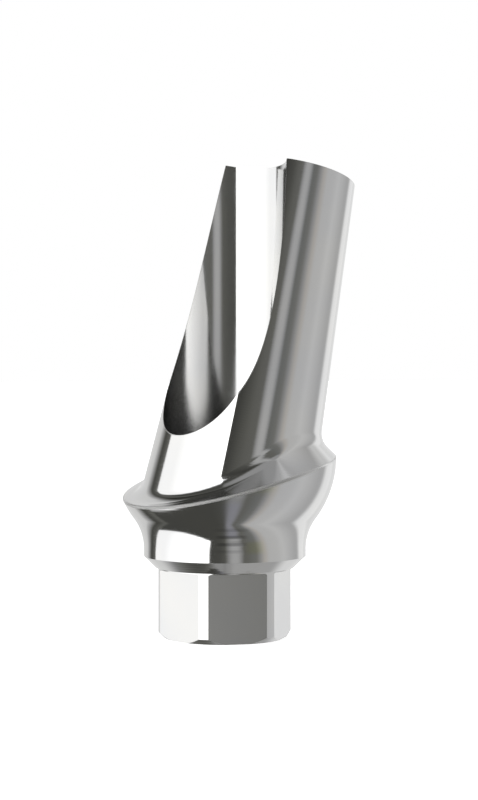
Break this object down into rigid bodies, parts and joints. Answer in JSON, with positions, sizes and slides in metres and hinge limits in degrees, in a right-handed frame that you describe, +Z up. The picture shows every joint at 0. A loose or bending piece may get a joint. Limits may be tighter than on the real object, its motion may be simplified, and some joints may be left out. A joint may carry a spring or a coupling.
{
  "type": "angled dental abutment",
  "caption": "Angled implant abutment: hexagonal foot, seat cone, flared cuff with a sloping margin, and a leaning tapered post with an open screw channel.",
  "frame": {"origin": "centre of the foot's end face, on the axis of the implant and of the screw hole", "axes": "+Z up along the implant's axis towards the post's open end, +X towards the side the post leans to, +Y across"},
  "size_m": [0.0052, 0.0044, 0.0096],
  "materials": {
    "polished_titanium": "turned and mirror-polished titanium, with fine turning rings under the cuff"
  },
  "bodies": {
    "root": {"abutment": "polished_titanium"}
  },
  "joints": []
}
